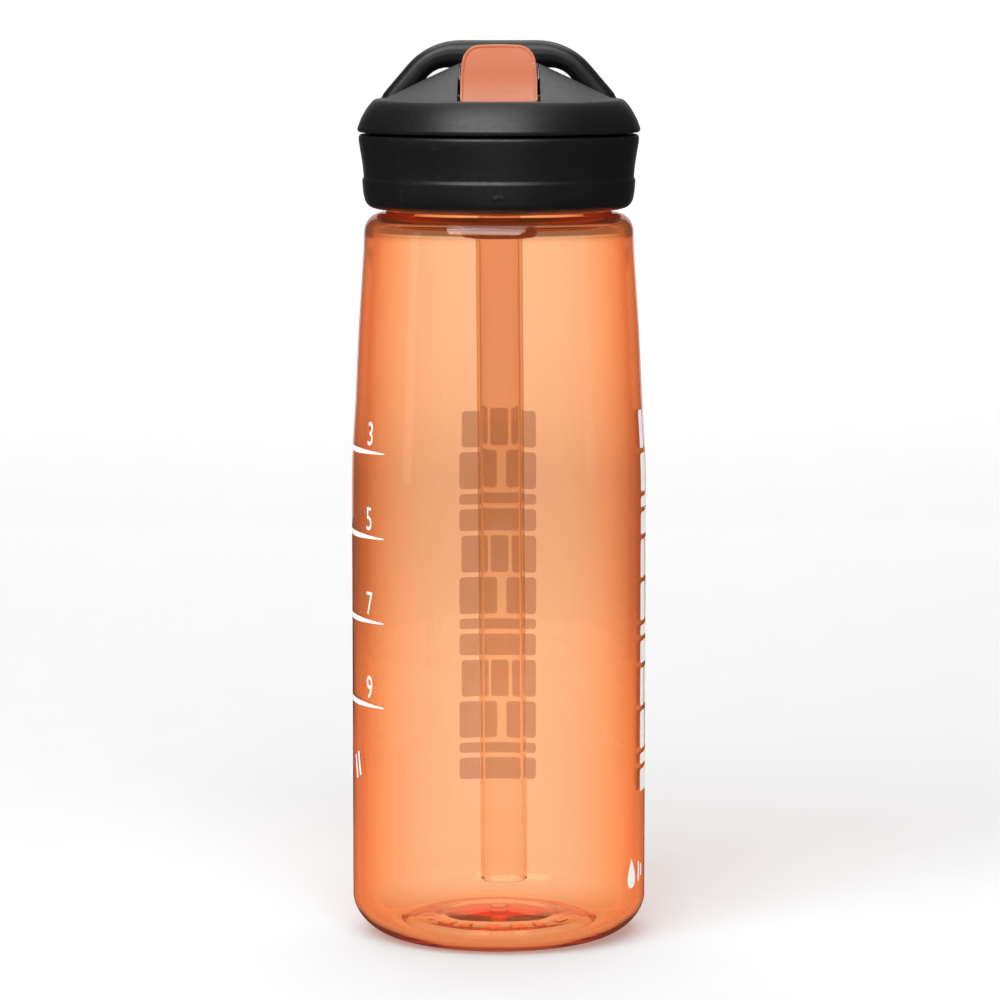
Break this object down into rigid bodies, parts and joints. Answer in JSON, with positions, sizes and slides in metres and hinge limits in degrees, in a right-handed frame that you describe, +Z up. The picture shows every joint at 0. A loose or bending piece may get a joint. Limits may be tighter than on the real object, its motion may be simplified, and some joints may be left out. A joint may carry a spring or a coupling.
{
  "type": "flip-spout drinking bottle",
  "caption": "Clear tinted drinking bottle with black screw lid, carry handle, fold-down silicone bite valve and full-length straw.",
  "frame": {"origin": "centre of the standing ring, on the table", "axes": "+Z up along the bottle, -Y the side the spout points to, +X to the right seen from the front"},
  "size_m": [0.077, 0.077, 0.2345],
  "materials": {
    "clear_tinted_copolyester": "clear moulded copolyester tinted orange, glossy",
    "clear_straw": "translucent extruded tube, satin",
    "black_polypropylene": "black polypropylene with a fine satin texture",
    "coral_silicone": "soft matte silicone, coral",
    "white_silicone": "soft matte silicone, natural white"
  },
  "bodies": {
    "bottle": {"bottle_body": "clear_tinted_copolyester"},
    "lid_lift": {"main_gasket": "white_silicone"},
    "lid": {"cap_skirt": "black_polypropylene", "cap_cover": "black_polypropylene", "vent_valve": "white_silicone", "port_seal": "white_silicone", "straw_collar": "coral_silicone", "straw": "clear_straw"},
    "spout": {"spout_stem": "black_polypropylene", "bite_valve": "coral_silicone"}
  },
  "joints": [
    {"name": "lid_rise", "type": "slide", "parent": "bottle", "child": "lid_lift", "axis": [0, 0, 1], "range_m": [0, 0.00563]},
    {"name": "lid_turn", "type": "hinge", "parent": "lid_lift", "child": "lid", "pos_m": [0, 0, 0.203], "axis": [0, 0, 1], "range_deg": [0, 450]},
    {"name": "spout_flip", "type": "hinge", "parent": "lid", "child": "spout", "pos_m": [0, -0.0075, 0.2225], "axis": [-1, 0, 0], "range_deg": [0, 110]}
  ],
  "couplings": [
    {"joint": "lid_rise", "follows": "lid_turn", "m_per_rad": 0.0007162}
  ]
}
